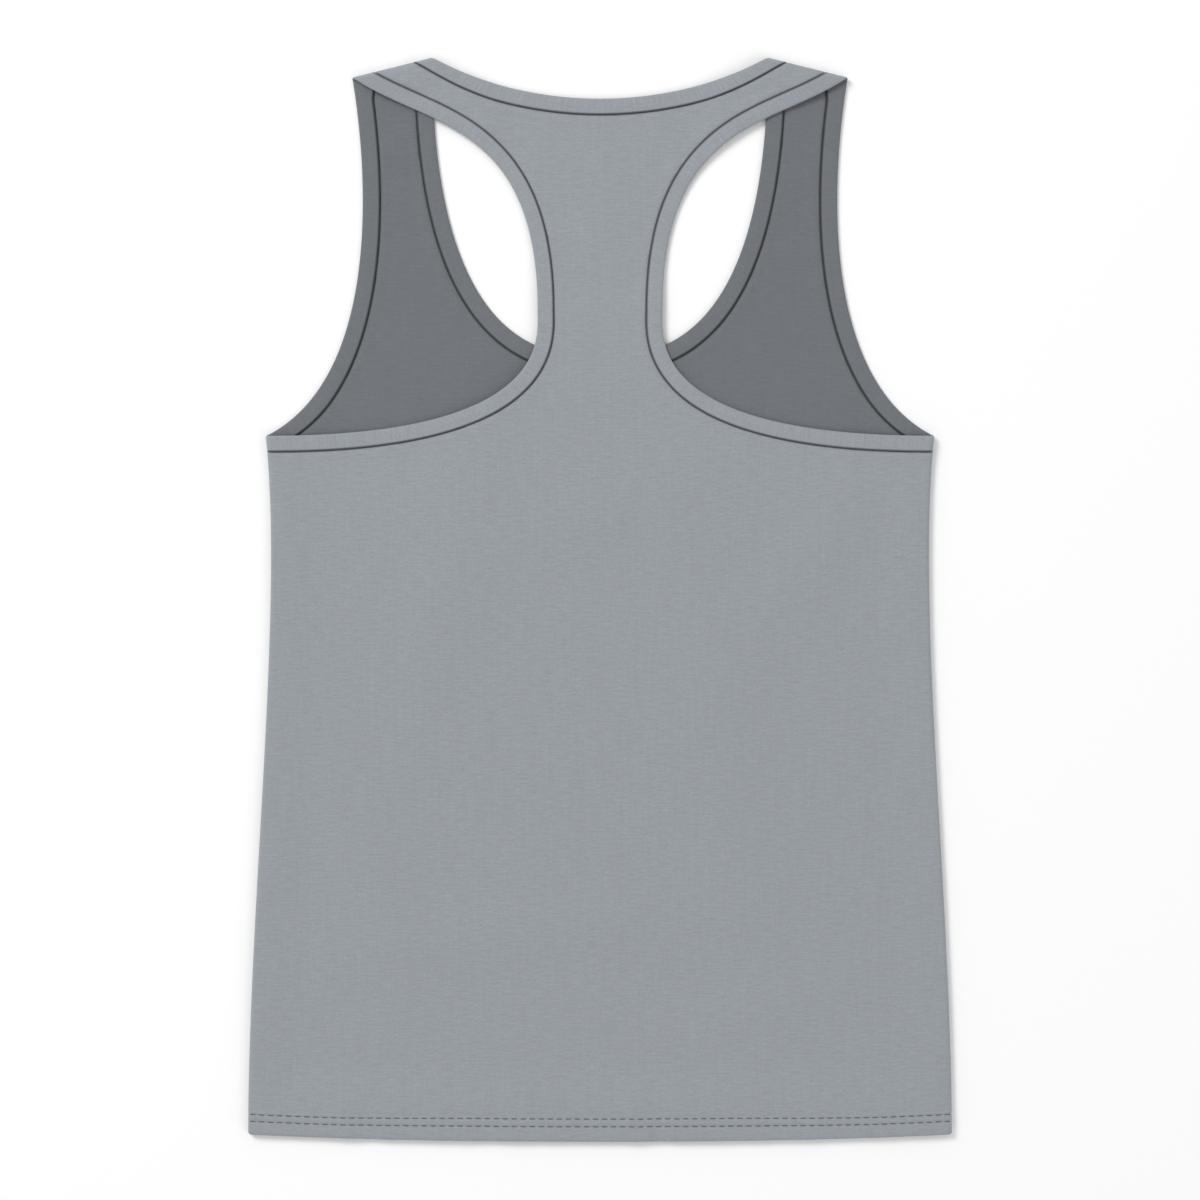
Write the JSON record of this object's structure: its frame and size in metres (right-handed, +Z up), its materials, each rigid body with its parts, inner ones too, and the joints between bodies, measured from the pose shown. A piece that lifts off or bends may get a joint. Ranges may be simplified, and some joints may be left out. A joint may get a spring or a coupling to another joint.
{
  "type": "racerback tank top",
  "caption": "Sleeveless jersey top laid flat with its back up: racerback straps, deep front scoop, bound neck and armholes, turned-up hem.",
  "frame": {"origin": "on the surface that the garment lies on, under the middle of its outline", "axes": "+X across the body towards the wearer's right side, +Y from the hem to the neck, +Z up from the surface, out of the back panel"},
  "size_m": [0.44, 0.6774, 0.0056],
  "materials": {
    "jersey": "matt single jersey, right side",
    "jersey_inside": "matt single jersey, wrong side",
    "binding": "matt folded jersey strip",
    "thread": "matt polyester sewing thread"
  },
  "bodies": {
    "root": {"front_panel": "jersey", "back_panel": "jersey", "neck_band": "binding", "armhole_band_left": "binding", "armhole_band_right": "binding"}
  },
  "joints": []
}
